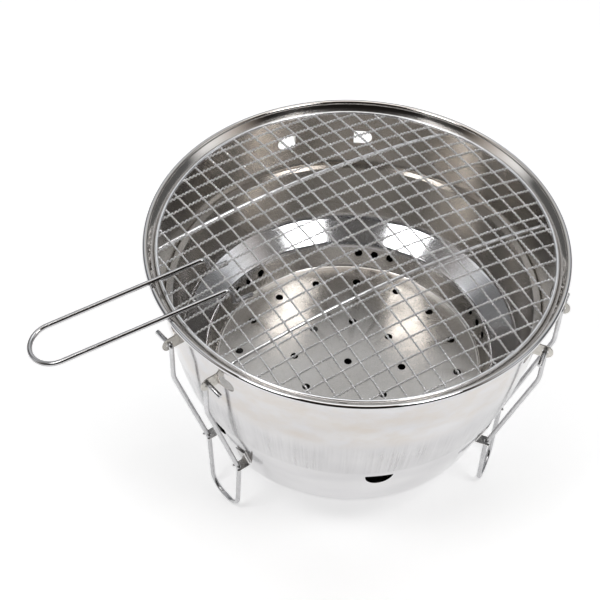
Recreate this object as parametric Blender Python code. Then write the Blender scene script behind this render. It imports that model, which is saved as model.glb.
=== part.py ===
"""Folding camp grill: a deep bowl on three fold-out wire legs, with a charcoal pan,
a domed grill net and a wire lifting handle.

The origin is the centre of the flat underside of the bowl and +Z is up.
All dimensions below are millimetres and degrees; the meshes are made in metres.
"""

import math

import bmesh
import bpy
from mathutils import Matrix, Vector

MM = 0.001
FULL_TURN = 360.0

# Turned parts share one number of sides, so that nested parts keep an even gap.
LATHE_SEGMENTS = 60
WIRE_BEVEL_RESOLUTION = 2
GAP = 0.3

# Bowl: sheet metal, flat base, straight flared foot, barrel wall, rolled rim.
BOWL_SHEET = 1.0
FOOT_CORNER_RADIUS = 115.6
FOOT_FILLET = 30.0
CREASE_HEIGHT = 80.0
SHOULDER_HEIGHT = 190.0
SHOULDER_RADIUS = 161.2
BARREL_SLOPE = 0.0745
BARREL_CURVATURE = 0.000863
BARREL_HEIGHTS = (80.0, 98.0, 116.0, 134.0, 152.0, 172.0, 190.0)
BEAD_CENTRE = (167.7, 195.7)
BEAD_RADIUS = 2.3
BEAD_ARC = (-149.0, -112.0, -75.0, -38.0, 0.0, 38.0, 75.0, 112.0, 146.0, 180.0)

# Air vents: half-moons with the flat edge up, low in the wall of the foot.
VENT_AZIMUTHS = tuple(30.0 + 60.0 * k for k in range(6))
VENT_TOP_HEIGHT = 75.0
VENT_DEPTH = 17.0
VENT_HALF_WIDTH = 11.25
VENT_ARC_STEPS = 8
VENT_CUT_START = 120.0
VENT_CUT_END = 160.0

# Legs: three bent wires, each hung on a pair of ears bent out of the wall.
LEG_AZIMUTHS = (90.0, 210.0, 330.0)
LEG_WIRE_RADIUS = 2.0
PIN_RADIUS_FROM_AXIS = 166.0
PIN_HEIGHT = 165.0
PIN_TAIL_END = 41.0
ARM_HALF_SPAN = 22.0
KNEE = (22.0, 165.2, 128.3)
ANKLE = (20.6, 132.3, 27.1)
SHIN = (17.9, 131.2, -15.0)
FOOT_BAR = (16.6, 130.8, -33.0)
PIN_BEND = 3.0
KNEE_BEND = 30.0
ANKLE_BEND = 30.0
SHIN_BEND = 20.0
FOOT_BEND = 14.0

# Ears (hinge lugs) and the openings they leave in the wall.
EAR_HALF_SPAN = 24.9
EAR_SHEET = 1.0
EAR_TIP_RADIUS = 6.4
EAR_HOLE_RADIUS = 2.6
EAR_ARC_STEPS = 8
OPENING_INNER_EDGE = 25.7
OPENING_STRAIGHT = 9.0
OPENING_CUT_START = 120.0
OPENING_CUT_END = 175.0

# Lower clips: a strap on the wall that ends in a slotted tab around the leg arm.
CLIP_HALF_WIDTH = 4.4
CLIP_SHEET = 1.2
CLIP_TAB_HEIGHT = 29.4
CLIP_STRAP_TOP = 52.0
CLIP_TAB_END = 136.3
CLIP_SLOT_HALF_WIDTH = 2.4
CLIP_SLOT_ROOT = 133.3
CLIP_ARC_STEPS = 6

# Charcoal pan: a pressed insert with a rolled flange and air holes.
PAN_SHEET = 1.0
PAN_INSIDE = ((0.0, 50.0), (113.0, 50.0), (119.3, 71.0), (141.6, 86.0), (147.3, 138.0))
PAN_CORNER_RADII = (3.0, 8.0, 8.0)
PAN_CURL_CENTRE = (152.2, 136.7)
PAN_CURL_RADIUS = 1.3
PAN_CURL_ARC = (90.0, 45.0, 0.0, -45.0, -90.0, -135.0, -180.0)
PAN_HOLE_RADIUS = 3.4
PAN_HOLE_SIDES = 10
PAN_FLOOR_RINGS = ((46.0, 30.3, 8), (93.5, -14.4, 16))
PAN_SIDE_HOLE_HEIGHT = 63.0
PAN_SIDE_HOLE_GROUPS = 6
PAN_SIDE_GROUP_START = 9.0
PAN_SIDE_HOLE_SPACING = 7.0
PAN_SIDE_CUT_START = 105.0
PAN_SIDE_CUT_END = 130.0

# Grill net: ring, two stiffening rods and a domed square mesh.
NET_RING_RADIUS = 159.0
NET_RING_HEIGHT = 191.6
NET_ROD_WIRE_RADIUS = 1.5
NET_AZIMUTH = 23.0
NET_PITCH = 15.0
NET_LINE_PHASE_U = 8.0
NET_LINE_PHASE_V = -1.7
NET_EDGE_RADIUS = 156.5
NET_EDGE_HEIGHT = 190.8
NET_RISE = 17.0
NET_BAR_HALF_WIDTH = 0.9
NET_BAR_HEIGHT = 1.6
NET_CROSSING_MARGIN = 3.0
NET_SKIPPED_CLEARANCE = 1.5
NET_ROD_OFFSETS = (78.0, -54.0)
NET_ROD_DROP = 0.45
NET_ROD_STEPS = 12

# Lifting handle: a wire loop hooked through two cells of the net.
HANDLE_WIRE_RADIUS = 2.1
HANDLE_AXIS_U = -118.0
HANDLE_HOOK_V = (32.3, -6.1)
HANDLE_AXIS_HEIGHT = 198.8
HANDLE_HEADING = 171.0
HANDLE_REACH = 270.7
HANDLE_BEAD_REACH = 166.5
HANDLE_BEAD_HEIGHT = 200.65
HANDLE_SLOPE = 0.2
HANDLE_LOOP_STEPS = 12
HANDLE_TIP_HEIGHT = 195.2
HANDLE_TIP_LENGTH = 18.0
HANDLE_UPPER_BEND = 5.0
HANDLE_LOWER_BEND = 4.0

BEND_STEPS = 5

# Each finish: colour (linear RGB), roughness, metallic.
FINISHES = {
    "bowl_steel": ((0.42, 0.41, 0.42), 0.38, 1.0),
    "ear_steel": ((0.45, 0.43, 0.40), 0.42, 1.0),
    "clip_steel": ((0.52, 0.51, 0.50), 0.35, 1.0),
    "leg_wire_steel": ((0.48, 0.48, 0.49), 0.32, 1.0),
    "pan_steel": ((0.36, 0.33, 0.31), 0.45, 1.0),
    "ring_steel": ((0.56, 0.56, 0.57), 0.22, 1.0),
    "mesh_steel": ((0.62, 0.62, 0.63), 0.20, 1.0),
    "rod_steel": ((0.54, 0.54, 0.55), 0.26, 1.0),
    "handle_steel": ((0.58, 0.58, 0.59), 0.18, 1.0),
}


def clear_scene():
    """Remove every object left in the scene."""
    for item in list(bpy.data.objects):
        bpy.data.objects.remove(item, do_unlink=True)


def make_material(name):
    """Return the metal finish of that name, making it on first use."""
    if name in bpy.data.materials:
        return bpy.data.materials[name]
    colour, roughness, metallic = FINISHES[name]
    material = bpy.data.materials.new(name)
    material.use_nodes = True
    shader = material.node_tree.nodes["Principled BSDF"]
    shader.inputs["Base Color"].default_value = (*colour, 1.0)
    shader.inputs["Roughness"].default_value = roughness
    shader.inputs["Metallic"].default_value = metallic
    return material


def add_object(name, data, finish, location=(0.0, 0.0, 0.0), azimuth=0.0):
    """Link an object to the scene at a place in mm, turned about +Z by azimuth."""
    item = bpy.data.objects.new(name, data)
    bpy.context.scene.collection.objects.link(item)
    item.location = Vector(location) * MM
    item.rotation_euler = (0.0, 0.0, math.radians(azimuth))
    if not data.materials:
        data.materials.append(make_material(finish))
    return item


def polar(radius, azimuth, height=0.0):
    """Point at a radius and azimuth about +Z."""
    angle = math.radians(azimuth)
    return Vector((radius * math.cos(angle), radius * math.sin(angle), height))


def rounded_path(corners, radii, steps=BEND_STEPS):
    """Polyline through corners, each inner corner rounded with its own radius."""
    corners = [Vector(corner) for corner in corners]
    path = [corners[0]]
    for index, radius in enumerate(radii, start=1):
        corner = corners[index]
        to_previous = (corners[index - 1] - corner).normalized()
        to_next = (corners[index + 1] - corner).normalized()
        opening = to_previous.angle(to_next)
        centre = corner + (to_previous + to_next).normalized() * radius / math.sin(opening / 2)
        start = corner + to_previous * radius / math.tan(opening / 2) - centre
        axis = to_previous.cross(start)
        for step in range(steps + 1):
            turn = Matrix.Rotation((math.pi - opening) * step / steps, 3, axis)
            path.append(centre + turn @ start)
    path.append(corners[-1])
    return path


def section_points(pairs):
    """Radius and height pairs as points in the XZ plane."""
    return [Vector((radius, 0.0, height)) for radius, height in pairs]


def offset_section(path, distance):
    """Section path in the XZ plane moved sideways; positive goes to its left."""
    moved = []
    for index, point in enumerate(path):
        before = path[max(index - 1, 0)]
        after = path[min(index + 1, len(path) - 1)]
        normals = []
        for start, end in ((before, point), (point, after)):
            along = end - start
            if along.length > 0.0:
                normals.append(Vector((-along.z, 0.0, along.x)).normalized())
        middle = sum(normals, Vector()).normalized()
        moved.append(point + middle * distance / middle.dot(normals[0]))
    return moved


def arc_section(centre, radius, angles):
    """Points of an arc in the XZ plane."""
    points = []
    for angle in angles:
        turn = math.radians(angle)
        points.append(Vector((centre[0] + radius * math.cos(turn), 0.0,
                              centre[1] + radius * math.sin(turn))))
    return points


def finish_mesh(bm, name, smooth_angle=None):
    """Turn a bmesh in mm into a mesh in metres with its faces pointing out."""
    bmesh.ops.scale(bm, vec=(MM, MM, MM), verts=bm.verts)
    bmesh.ops.recalc_face_normals(bm, faces=bm.faces)
    mesh = bpy.data.meshes.new(name)
    bm.to_mesh(mesh)
    bm.free()
    if smooth_angle is not None:
        mesh.shade_smooth()
        mesh.set_sharp_from_angle(angle=math.radians(smooth_angle))
    return mesh


def turned_mesh(name, section):
    """Closed solid of revolution; the section starts and ends on the axis."""
    bm = bmesh.new()
    rings = []
    for point in section:
        if point.x == 0.0:
            rings.append([bm.verts.new(point)] * LATHE_SEGMENTS)
            continue
        ring = []
        for segment in range(LATHE_SEGMENTS):
            azimuth = FULL_TURN * segment / LATHE_SEGMENTS
            ring.append(bm.verts.new(polar(point.x, azimuth, point.z)))
        rings.append(ring)
    for lower, upper in zip(rings, rings[1:]):
        for segment in range(LATHE_SEGMENTS):
            following = (segment + 1) % LATHE_SEGMENTS
            corners = (lower[segment], lower[following], upper[following], upper[segment])
            bm.faces.new(dict.fromkeys(corners))
    return finish_mesh(bm, name, smooth_angle=35.0)


def wire_curve(name, path, radius, cyclic=False):
    """Round wire along a path in mm, with closed ends."""
    curve = bpy.data.curves.new(name, "CURVE")
    curve.dimensions = "3D"
    curve.bevel_depth = radius * MM
    curve.bevel_resolution = WIRE_BEVEL_RESOLUTION
    curve.use_fill_caps = not cyclic
    spline = curve.splines.new("POLY")
    spline.points.add(len(path) - 1)
    for spline_point, point in zip(spline.points, path):
        spline_point.co = (*(point * MM), 1.0)
    spline.use_cyclic_u = cyclic
    return curve


def add_prism(bm, outline, shift, holes=()):
    """Add a solid between an outline, with holes in it, and its copy moved by shift."""
    edges = []
    for loop in (outline, *holes):
        vertices = [bm.verts.new(point) for point in loop]
        for start, end in zip(vertices, vertices[1:] + vertices[:1]):
            edges.append(bm.edges.new((start, end)))
    filled = bmesh.ops.triangle_fill(bm, use_beauty=True, edges=edges)
    faces = [item for item in filled["geom"] if isinstance(item, bmesh.types.BMFace)]
    raised = bmesh.ops.extrude_face_region(bm, geom=faces)
    moved = [item for item in raised["geom"] if isinstance(item, bmesh.types.BMVert)]
    bmesh.ops.translate(bm, verts=moved, vec=shift)


def cut_with(target, cutter_name, cutter_bm):
    """Take a set of separate solids out of the target with one cutter."""
    mesh = finish_mesh(cutter_bm, cutter_name)
    cutter = bpy.data.objects.new(cutter_name, mesh)
    bpy.context.scene.collection.objects.link(cutter)
    cutter.hide_render = True
    cutter.display_type = "WIRE"
    cut = target.modifiers.new(cutter_name, "BOOLEAN")
    cut.operation = "DIFFERENCE"
    cut.solver = "EXACT"
    cut.object = cutter


def barrel_radius(height):
    """Outside radius of the bowl wall above the crease."""
    drop = SHOULDER_HEIGHT - height
    return SHOULDER_RADIUS - BARREL_SLOPE * drop - BARREL_CURVATURE * drop * drop


def foot_radius(height):
    """Outside radius of the straight flared wall below the crease."""
    flare = (barrel_radius(CREASE_HEIGHT) - FOOT_CORNER_RADIUS) / CREASE_HEIGHT
    return FOOT_CORNER_RADIUS + flare * height


def bowl_section():
    """Outside of the bowl up to the rolled rim, then down the inside."""
    crease = (barrel_radius(CREASE_HEIGHT), CREASE_HEIGHT)
    corners = section_points(((0.0, 0.0), (FOOT_CORNER_RADIUS, 0.0), crease))
    outside = rounded_path(corners, (FOOT_FILLET,))
    outside += section_points((barrel_radius(height), height) for height in BARREL_HEIGHTS[1:])
    inside = offset_section(outside, BOWL_SHEET)
    inside[0].x = 0.0
    bead = arc_section(BEAD_CENTRE, BEAD_RADIUS, BEAD_ARC)
    return outside + bead + inside[::-1]


def vent_outline():
    """Half-moon in the plane across a radius, flat edge up."""
    outline = []
    for step in range(VENT_ARC_STEPS + 1):
        turn = math.pi * step / VENT_ARC_STEPS
        outline.append(Vector((VENT_HALF_WIDTH * math.cos(turn), VENT_CUT_START,
                               VENT_TOP_HEIGHT - VENT_DEPTH * math.sin(turn))))
    return outline


def ear_opening_outline(side):
    """Opening beside an ear: straight at the ear, round at the far end."""
    straight_end = OPENING_INNER_EDGE + OPENING_STRAIGHT
    across = [(OPENING_INNER_EDGE, PIN_HEIGHT + EAR_TIP_RADIUS)]
    for step in range(EAR_ARC_STEPS + 1):
        turn = math.pi / 2 - math.pi * step / EAR_ARC_STEPS
        across.append((straight_end + EAR_TIP_RADIUS * math.cos(turn),
                       PIN_HEIGHT + EAR_TIP_RADIUS * math.sin(turn)))
    across.append((OPENING_INNER_EDGE, PIN_HEIGHT - EAR_TIP_RADIUS))
    return [Vector((side * x, OPENING_CUT_START, z)) for x, z in across]


def turned_about_axis(points, azimuth):
    """Points drawn on the +Y side of the bowl, turned to another azimuth."""
    turn = Matrix.Rotation(math.radians(azimuth - 90.0), 3, "Z")
    return [turn @ point for point in points]


def add_radial_cut(bm, outline, azimuth, length):
    """Add a cutting prism that runs outward through the wall."""
    direction = turned_about_axis([Vector((0.0, length, 0.0))], azimuth)[0]
    add_prism(bm, turned_about_axis(outline, azimuth), direction)


def build_bowl():
    """Bowl shell with its vents and the openings left by the ears."""
    bowl = add_object("bowl_shell", turned_mesh("bowl_shell", bowl_section()), "bowl_steel")
    cuts = bmesh.new()
    for azimuth in VENT_AZIMUTHS:
        add_radial_cut(cuts, vent_outline(), azimuth, VENT_CUT_END - VENT_CUT_START)
    for azimuth in LEG_AZIMUTHS:
        for side in (-1, 1):
            outline = ear_opening_outline(side)
            add_radial_cut(cuts, outline, azimuth, OPENING_CUT_END - OPENING_CUT_START)
    cut_with(bowl, "wall_cutter", cuts)


def ear_mesh(side):
    """Ear plate with a round tip and a pin hole, measured from the pin."""
    root_top = wall_depth(PIN_HEIGHT + EAR_TIP_RADIUS)
    root_bottom = wall_depth(PIN_HEIGHT - EAR_TIP_RADIUS)
    face = side * (EAR_HALF_SPAN - EAR_SHEET / 2)
    outline = [Vector((face, root_top, EAR_TIP_RADIUS))]
    for step in range(EAR_ARC_STEPS + 1):
        turn = math.pi / 2 - math.pi * step / EAR_ARC_STEPS
        outline.append(Vector((face, EAR_TIP_RADIUS * math.cos(turn),
                               EAR_TIP_RADIUS * math.sin(turn))))
    outline.append(Vector((face, root_bottom, -EAR_TIP_RADIUS)))
    hole = []
    for step in range(2 * EAR_ARC_STEPS):
        turn = math.pi * step / EAR_ARC_STEPS
        hole.append(Vector((face, EAR_HOLE_RADIUS * math.cos(turn),
                            EAR_HOLE_RADIUS * math.sin(turn))))
    bm = bmesh.new()
    add_prism(bm, outline, (side * EAR_SHEET, 0.0, 0.0), (hole,))
    return finish_mesh(bm, "ear", smooth_angle=35.0)


def wall_depth(height):
    """Distance from the pin inward to the wall beside an ear, less the gap."""
    wall = math.sqrt(barrel_radius(height) ** 2 - (EAR_HALF_SPAN - EAR_SHEET / 2) ** 2)
    return wall + GAP - PIN_RADIUS_FROM_AXIS


def pin_place(azimuth):
    """Middle of the hinge axis of the leg at that azimuth."""
    return polar(PIN_RADIUS_FROM_AXIS, azimuth, PIN_HEIGHT)


def build_ears():
    """Two ears for each leg."""
    meshes = {"left": ear_mesh(-1), "right": ear_mesh(1)}
    for number, azimuth in enumerate(LEG_AZIMUTHS, start=1):
        for side, mesh in meshes.items():
            name = f"hinge_ear_{number}_{side}"
            add_object(name, mesh, "ear_steel", pin_place(azimuth), azimuth - 90.0)


def clip_plan():
    """Plan of the strap's foot against the wall, and of the two prongs of the tab."""
    arm = ANKLE[0]
    wall = foot_radius(CLIP_TAB_HEIGHT + CLIP_SHEET) + GAP
    outward = Vector((arm, wall, 0.0)).normalized()
    across = Vector((outward.y, -outward.x, 0.0))
    strap_foot = []
    for side, out in ((-1, 0.0), (1, 0.0), (1, CLIP_SHEET), (-1, CLIP_SHEET)):
        face = outward * (wall + out)
        place_x = arm + side * CLIP_HALF_WIDTH
        strap_foot.append(face + across * (place_x - face.x) / across.x)
    slot = []
    for step in range(CLIP_ARC_STEPS + 1):
        turn = math.pi * step / CLIP_ARC_STEPS
        slot.append(Vector((arm + CLIP_SLOT_HALF_WIDTH * math.cos(turn),
                            CLIP_SLOT_ROOT - CLIP_SLOT_HALF_WIDTH * math.sin(turn), 0.0)))
    prongs = [Vector((arm + CLIP_HALF_WIDTH, CLIP_TAB_END, 0.0)),
              Vector((arm + CLIP_SLOT_HALF_WIDTH, CLIP_TAB_END, 0.0)), *slot,
              Vector((arm - CLIP_SLOT_HALF_WIDTH, CLIP_TAB_END, 0.0)),
              Vector((arm - CLIP_HALF_WIDTH, CLIP_TAB_END, 0.0))]
    return strap_foot, prongs, outward


def clip_mesh(side):
    """Slotted tab with a strap rising from its inner edge along the wall, as one strip."""
    strap_foot, prongs, outward = clip_plan()
    base = Vector((0.0, 0.0, CLIP_TAB_HEIGHT))
    lift = Vector((0.0, 0.0, CLIP_SHEET))
    flare = foot_radius(1.0) - foot_radius(0.0)
    climb = (outward * flare + Vector((0.0, 0.0, 1.0))) * (CLIP_STRAP_TOP - CLIP_TAB_HEIGHT)
    bm = bmesh.new()
    foot = [bm.verts.new(base + point) for point in strap_foot]
    prong = [bm.verts.new(base + point) for point in prongs]
    foot_top = [bm.verts.new(base + point + lift) for point in strap_foot]
    prong_top = [bm.verts.new(base + point + lift) for point in prongs]
    strap_top = [bm.verts.new(base + point + lift + climb) for point in strap_foot]
    bm.faces.new(foot)
    bm.faces.new([foot[3], foot[2], *prong])
    bm.faces.new([foot_top[3], foot_top[2], *prong_top])
    edge = [foot[0], foot[1], foot[2], *prong, foot[3], foot[0]]
    edge_top = [foot_top[0], foot_top[1], foot_top[2], *prong_top, foot_top[3], foot_top[0]]
    for index in range(len(edge) - 1):
        bm.faces.new([edge[index], edge[index + 1], edge_top[index + 1], edge_top[index]])
    for index in range(4):
        following = (index + 1) % 4
        bm.faces.new([foot_top[index], foot_top[following],
                      strap_top[following], strap_top[index]])
    bm.faces.new(strap_top)
    if side < 0:
        bmesh.ops.scale(bm, vec=(-1.0, 1.0, 1.0), verts=bm.verts)
    bm.normal_update()
    bmesh.ops.triangulate(bm, faces=bm.faces)
    return finish_mesh(bm, "clip", smooth_angle=35.0)


def build_clips():
    """Two clips for each leg."""
    meshes = {"left": clip_mesh(-1), "right": clip_mesh(1)}
    for number, azimuth in enumerate(LEG_AZIMUTHS, start=1):
        for side, mesh in meshes.items():
            name = f"leg_clip_{number}_{side}"
            add_object(name, mesh, "clip_steel", azimuth=azimuth - 90.0)


def leg_path():
    """Leg wire measured from its hinge axis: pin, arm, foot bar, arm, pin."""
    pin = Vector((0.0, PIN_RADIUS_FROM_AXIS, PIN_HEIGHT))
    tail = Vector((PIN_TAIL_END, *pin.yz))
    shoulder = Vector((ARM_HALF_SPAN, *pin.yz))
    right = [tail, shoulder, Vector(KNEE), Vector(ANKLE), Vector(SHIN), Vector(FOOT_BAR)]
    left = [Vector((-point.x, point.y, point.z)) for point in reversed(right)]
    bends = (PIN_BEND, KNEE_BEND, ANKLE_BEND, SHIN_BEND, FOOT_BEND)
    corners = [point - pin for point in right + left]
    return rounded_path(corners, bends + bends[::-1], steps=3)


def build_legs():
    """Three equal leg wires, each hung on its own hinge axis."""
    wire = wire_curve("leg_wire", leg_path(), LEG_WIRE_RADIUS)
    for number, azimuth in enumerate(LEG_AZIMUTHS, start=1):
        name = f"leg_wire_{number}"
        add_object(name, wire, "leg_wire_steel", pin_place(azimuth), azimuth - 90.0)


def pan_section():
    """Underside of the pan, out to the curled flange, then back over the inside."""
    inside = rounded_path(section_points(PAN_INSIDE), PAN_CORNER_RADII, steps=2)
    outside = offset_section(inside, -PAN_SHEET)
    outside[0].x = 0.0
    outside[-1].z = PAN_INSIDE[-1][1] - PAN_SHEET
    curl = arc_section(PAN_CURL_CENTRE, PAN_CURL_RADIUS, PAN_CURL_ARC)
    return outside + curl[::-1] + inside[::-1]


def circle_points(centre, radius, sides, first, second):
    """Points of a circle in the plane of two unit vectors."""
    points = []
    for side in range(sides):
        turn = 2 * math.pi * side / sides
        points.append(centre + radius * (math.cos(turn) * first + math.sin(turn) * second))
    return points


def add_floor_hole(bm, centre):
    """Add a vertical cutting cylinder through the pan floor."""
    start = Vector((centre.x, centre.y, PAN_INSIDE[0][1] - 4 * PAN_SHEET))
    ring = circle_points(start, PAN_HOLE_RADIUS, PAN_HOLE_SIDES,
                         Vector((1.0, 0.0, 0.0)), Vector((0.0, 1.0, 0.0)))
    add_prism(bm, ring, (0.0, 0.0, 8 * PAN_SHEET))


def add_side_hole(bm, azimuth):
    """Add a radial cutting cylinder through the side of the pan."""
    outward = polar(1.0, azimuth)
    across = Vector((-outward.y, outward.x, 0.0))
    start = outward * PAN_SIDE_CUT_START + Vector((0.0, 0.0, PAN_SIDE_HOLE_HEIGHT))
    ring = circle_points(start, PAN_HOLE_RADIUS, PAN_HOLE_SIDES, across, Vector((0.0, 0.0, 1.0)))
    add_prism(bm, ring, outward * (PAN_SIDE_CUT_END - PAN_SIDE_CUT_START))


def build_pan():
    """Charcoal pan with its floor holes and groups of side holes."""
    pan = add_object("charcoal_pan", turned_mesh("charcoal_pan", pan_section()), "pan_steel")
    cuts = bmesh.new()
    add_floor_hole(cuts, Vector((0.0, 0.0, 0.0)))
    for radius, start, count in PAN_FLOOR_RINGS:
        for index in range(count):
            add_floor_hole(cuts, polar(radius, start + FULL_TURN * index / count))
    for group in range(PAN_SIDE_HOLE_GROUPS):
        middle = PAN_SIDE_GROUP_START + FULL_TURN * group / PAN_SIDE_HOLE_GROUPS
        for place in (-1, 0, 1):
            add_side_hole(cuts, middle + place * PAN_SIDE_HOLE_SPACING)
    cut_with(pan, "pan_cutter", cuts)


def net_height(u, v):
    """Height of the underside of the mesh above a place in net coordinates."""
    reach = (u * u + v * v) / NET_EDGE_RADIUS ** 2
    return NET_EDGE_HEIGHT + NET_RISE * (1.0 - reach)


def lattice_lines(phase):
    """Places of the parallel bars that cross the net."""
    count = math.ceil(NET_EDGE_RADIUS / NET_PITCH) + 1
    lines = [phase + NET_PITCH * k for k in range(-count, count + 1)]
    return [line for line in lines if abs(line) < NET_EDGE_RADIUS]


def add_crossing(bm, u, v):
    """Vertices of one crossing: the ridge and the four corners under it."""
    height = net_height(u, v)
    crossing = {"place": (u, v)}
    crossing["ridge"] = bm.verts.new((u, v, height + NET_BAR_HEIGHT))
    for side_u in (-1, 1):
        for side_v in (-1, 1):
            corner = (u + side_u * NET_BAR_HALF_WIDTH, v + side_v * NET_BAR_HALF_WIDTH, height)
            crossing[side_u, side_v] = bm.verts.new(corner)
    bm.faces.new([crossing[-1, -1], crossing[-1, 1], crossing[1, 1], crossing[1, -1]])
    return crossing


def side_keys(direction):
    """The two corners of a crossing on the side a bar leaves by."""
    along_u, along_v = direction
    if along_u:
        return (along_u, -1), (along_u, 1)
    return (-1, along_v), (1, along_v)


def add_bar(bm, ridge, first, second, far_ridge, far_first, far_second):
    """Two sloping faces and the underside of one stretch of bar."""
    bm.faces.new([ridge, first, far_first, far_ridge])
    bm.faces.new([second, ridge, far_ridge, far_second])
    bm.faces.new([first, second, far_second, far_first])


def stub_end(u, v, direction):
    """Place where a bar that leaves its last crossing comes to an end."""
    along_u, along_v = direction
    sign = along_u + along_v
    along, beside = (u, v) if along_u else (v, u)
    edge = math.sqrt(NET_EDGE_RADIUS ** 2 - beside ** 2)
    end = sign * min(edge, sign * along + NET_PITCH - NET_SKIPPED_CLEARANCE)
    return (end, v) if along_u else (u, end)


def add_stub(bm, crossing, direction):
    """Last stretch of a bar, from its last crossing to the edge of the net."""
    u, v = crossing["place"]
    end_u, end_v = stub_end(u, v, direction)
    first_key, second_key = side_keys(direction)
    height = net_height(end_u, end_v)
    if direction[0]:
        offsets = ((0.0, -NET_BAR_HALF_WIDTH), (0.0, NET_BAR_HALF_WIDTH))
    else:
        offsets = ((-NET_BAR_HALF_WIDTH, 0.0), (NET_BAR_HALF_WIDTH, 0.0))
    ridge = bm.verts.new((end_u, end_v, height + NET_BAR_HEIGHT))
    first, second = (bm.verts.new((end_u + du, end_v + dv, height)) for du, dv in offsets)
    add_bar(bm, crossing["ridge"], crossing[first_key], crossing[second_key],
            ridge, first, second)
    bm.faces.new([ridge, first, second])


def net_mesh():
    """Domed square mesh as one body of three-sided bars."""
    bm = bmesh.new()
    lines_u = lattice_lines(NET_LINE_PHASE_U)
    lines_v = lattice_lines(NET_LINE_PHASE_V)
    crossings = {}
    for index_u, u in enumerate(lines_u):
        for index_v, v in enumerate(lines_v):
            if math.hypot(u, v) < NET_EDGE_RADIUS - NET_CROSSING_MARGIN:
                crossings[index_u, index_v] = add_crossing(bm, u, v)
    for (index_u, index_v), crossing in crossings.items():
        for direction in ((1, 0), (-1, 0), (0, 1), (0, -1)):
            neighbour = crossings.get((index_u + direction[0], index_v + direction[1]))
            if neighbour is None:
                add_stub(bm, crossing, direction)
                continue
            if sum(direction) < 0:
                continue
            first, second = side_keys(direction)
            far_first, far_second = side_keys((-direction[0], -direction[1]))
            add_bar(bm, crossing["ridge"], crossing[first], crossing[second],
                    neighbour["ridge"], neighbour[far_first], neighbour[far_second])
    return finish_mesh(bm, "net_mesh")


def ring_path():
    """Circle of the net's outer ring."""
    path = []
    for segment in range(LATHE_SEGMENTS):
        azimuth = FULL_TURN * segment / LATHE_SEGMENTS
        path.append(polar(NET_RING_RADIUS, azimuth, NET_RING_HEIGHT))
    return path


def rod_path(offset):
    """Stiffening rod bent like the dome, just under the mesh."""
    half = math.sqrt(NET_EDGE_RADIUS ** 2 - offset ** 2)
    path = []
    for step in range(NET_ROD_STEPS + 1):
        u = half * (2.0 * step / NET_ROD_STEPS - 1.0)
        height = net_height(u, offset) - NET_ROD_DROP - NET_ROD_WIRE_RADIUS
        path.append(Vector((u, offset, height)))
    return path


def build_net():
    """Ring, mesh and rods of the grill net."""
    ring = wire_curve("net_ring", ring_path(), NET_ROD_WIRE_RADIUS, cyclic=True)
    add_object("net_ring", ring, "ring_steel")
    add_object("net_mesh", net_mesh(), "mesh_steel", azimuth=NET_AZIMUTH)
    for number, offset in enumerate(NET_ROD_OFFSETS, start=1):
        rod = wire_curve("net_rod", rod_path(offset), NET_ROD_WIRE_RADIUS)
        add_object(f"net_rod_{number}", rod, "rod_steel", azimuth=NET_AZIMUTH)


def handle_height(reach):
    """Height of the sloping handle at a distance along its heading."""
    return HANDLE_BEAD_HEIGHT + HANDLE_SLOPE * (HANDLE_BEAD_REACH - reach)


def handle_corners():
    """Corners of the handle wire in net coordinates, and the loop's turning centre."""
    heading = polar(1.0, HANDLE_HEADING)
    sideways = Vector((-heading.y, heading.x, 0.0))
    hooks = [Vector((HANDLE_AXIS_U, v, 0.0)) for v in HANDLE_HOOK_V]
    half_width = abs((hooks[0] - hooks[1]).dot(sideways)) / 2
    middle = (hooks[0] + hooks[1]).dot(sideways) / 2
    loop_centre = heading * (HANDLE_REACH - half_width) + sideways * middle
    loop = []
    for step in range(HANDLE_LOOP_STEPS + 1):
        turn = math.pi * step / HANDLE_LOOP_STEPS
        loop.append(loop_centre + half_width * (math.sin(turn) * heading
                                                - math.cos(turn) * sideways))
    for point in loop:
        point.z = handle_height(point.dot(heading))
    return hooks, heading, loop


def hook_path(hook, heading):
    """One end of the handle: under the mesh, up through a cell, then outward."""
    top = Vector((hook.x, hook.y, handle_height(hook.dot(heading))))
    bottom = Vector((hook.x, hook.y, HANDLE_TIP_HEIGHT))
    tip = bottom + Vector((HANDLE_TIP_LENGTH, 0.0, 0.0))
    reach = hook.dot(heading) + 4 * HANDLE_UPPER_BEND
    outer = Vector((*(hook + heading * 4 * HANDLE_UPPER_BEND).xy, handle_height(reach)))
    return rounded_path([tip, bottom, top, outer], (HANDLE_LOWER_BEND, HANDLE_UPPER_BEND))[:-1]


def build_handle():
    """Lifting handle, placed on the axis it tips about."""
    hooks, heading, loop = handle_corners()
    ends = [hook_path(hook, heading) for hook in hooks]
    path = ends[0] + loop + ends[1][::-1]
    axis_middle = (hooks[0] + hooks[1]) / 2
    axis_middle.z = HANDLE_AXIS_HEIGHT
    wire = wire_curve("lifting_handle", [point - axis_middle for point in path],
                      HANDLE_WIRE_RADIUS)
    place = Matrix.Rotation(math.radians(NET_AZIMUTH), 3, "Z") @ axis_middle
    add_object("lifting_handle", wire, "handle_steel", place, NET_AZIMUTH)


def main():
    """Build the whole grill."""
    clear_scene()
    build_bowl()
    build_ears()
    build_clips()
    build_legs()
    build_pan()
    build_net()
    build_handle()


main()
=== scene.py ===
"""Folding camp grill: the visual model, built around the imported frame.

Dimensions are millimetres and degrees, as in the CAD part; objects are made in metres.
"""

import math

import bmesh
import bpy
from mathutils import Matrix, Vector


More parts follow.
